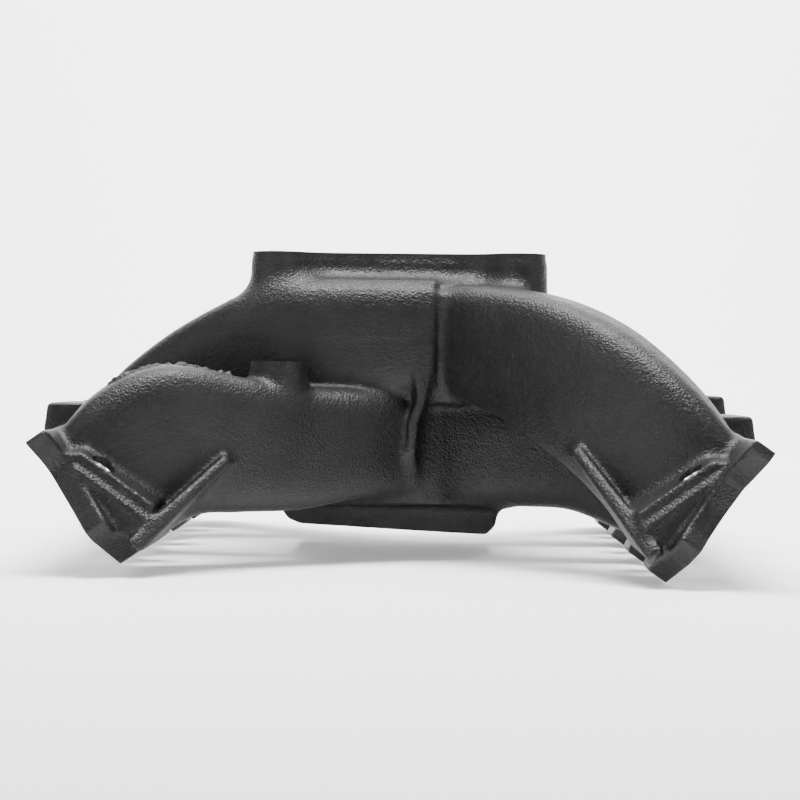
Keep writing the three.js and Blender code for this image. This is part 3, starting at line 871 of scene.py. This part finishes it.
def boss_plug(end, node):
    """A threaded pipe plug with a hexagon socket."""
    top = BOSS_TOP - 0.5
    low = top - PLUG_LENGTH
    teeth = thread(PLUG_RADIUS, 1.8, -0.7, low + 1.0, top - 1.2)
    profile = [(0.02, low), (PLUG_RADIUS - 1.2, low)] + teeth
    profile += [(PLUG_RADIUS, top - 0.9), (PLUG_RADIUS - 0.9, top), (0.02, top)]
    points, faces = lathe(profile)
    place = np.array([BOSS_X, end * BOSS_Y, 0])
    obj = mesh_object(node + "_fine", [(points + place, faces)], STEEL)
    socket = post(BOSS_X, end * BOSS_Y, PLUG_HEX, top - PLUG_HEX_DEPTH, top + 1, sides=6)
    boolean(obj, mesh_object("socket_cut", [socket], STEEL))
    lead = post(BOSS_X, end * BOSS_Y, PLUG_HEX + 0.9, top - 0.9, top + 0.5, taper=-1.4)
    boolean(obj, mesh_object("lead_cut", [lead], STEEL))
    finish_piece(obj, node)


SEAL_PROFILE = [(2.5, 2.7), (6.1, 2.7), (6.1, 1.2), (5.7, 0.5), (5.1, 0.15), (4.6, 0.35),
                (4.3, 0.7), (4.0, 0.35), (3.5, 0.15), (2.9, 0.5), (2.5, 1.2)]


def port_seal(bank, y, node):
    """A moulded seal with two beads, seated in its groove."""
    obj = mesh_object(node + "_fine", [mirrored(port_ring(y, SEAL_PROFILE), bank)], RUBBER)
    finish_piece(obj, node)


for y_name, y_side in (("front", -1), ("rear", 1)):
    for x_name, x_side in (("left", -1), ("right", 1)):
        carb_insert(x_side * STUD_X, y_side * STUD_Y, f"carb_insert_{y_name}_{x_name}")
    boss_plug(y_side, f"{y_name}_boss_plug")
for bank in BANKS:
    for number, y in enumerate(bank.ports, 1):
        port_seal(bank, y, f"port_seal_{bank.name}_{number}")

# ---------------------------------------------------------------- camera, floor and light

CAMERA = Vector((19.1, -1272.0, -64.4)) * MM
FOCAL_PIXELS = 2210.0
FRAME_WIDTH = 800.0

camera_data = bpy.data.cameras.new("camera")
camera_data.sensor_width = 36
camera_data.lens = 36 * FOCAL_PIXELS / FRAME_WIDTH
camera = bpy.data.objects.new("camera", camera_data)
camera.location = CAMERA
yaw = math.atan(33 / FOCAL_PIXELS)
pitch = math.atan(28 / FOCAL_PIXELS)
roll = math.radians(0.6)
aim = Matrix.Rotation(yaw, 4, "Z") @ Matrix.Rotation(math.pi / 2 - pitch, 4, "X")
camera.rotation_euler = (aim @ Matrix.Rotation(roll, 4, "Z")).to_euler()
bpy.context.scene.collection.objects.link(camera)
bpy.context.scene.camera = camera


def sweep_floor():
    floor_z = CAD_BOX[0][2]
    mesh = bmesh.new()
    profile = [(-3.0, 0.0), (1.2, 0.0)]
    for k in range(1, 13):
        angle = math.radians(90 * k / 12)
        profile.append((1.2 + 0.8 * math.sin(angle), 0.8 - 0.8 * math.cos(angle)))
    profile.append((2.0, 4.0))
    rows = []
    for y, z in profile:
        rows.append([mesh.verts.new((x, y, z + floor_z - 0.0005)) for x in (-4.0, 4.0)])
    for a, b in zip(rows, rows[1:]):
        mesh.faces.new((a[0], a[1], b[1], b[0]))
    data = bpy.data.meshes.new("studio_floor")
    mesh.to_mesh(data)
    mesh.free()
    data.polygons.foreach_set("use_smooth", [True] * len(data.polygons))
    floor = bpy.data.objects.new("studio_floor", data)
    bpy.context.scene.collection.objects.link(floor)
    data.materials.append(paper_look())


sweep_floor()


def area(name, place, target, size, power):
    data = bpy.data.lights.new(name, "AREA")
    data.shape = "RECTANGLE"
    data.size, data.size_y = size
    data.energy = power
    light = bpy.data.objects.new(name, data)
    light.location = place
    light.rotation_euler = (Vector(target) - Vector(place)).to_track_quat("-Z", "Y").to_euler()
    bpy.context.scene.collection.objects.link(light)


area("left_box", (-1.1, -0.9, 0.45), (0, 0, -0.08), (0.4, 0.9), 7)
area("right_box", (1.1, -0.8, 0.55), (0, 0, -0.08), (0.4, 0.9), 7)
area("top_box", (0, -0.15, 1.0), (0, 0, -0.1), (0.8, 0.6), 48)
area("backdrop_light", (0, 0.9, 1.3), (0, 1.9, 0.3), (2.4, 0.6), 110)

world = bpy.data.worlds.new("studio")
bpy.context.scene.world = world
world.use_nodes = True
world.node_tree.nodes["Background"].inputs["Color"].default_value = (1, 1, 1, 1)
world.node_tree.nodes["Background"].inputs["Strength"].default_value = 0.12
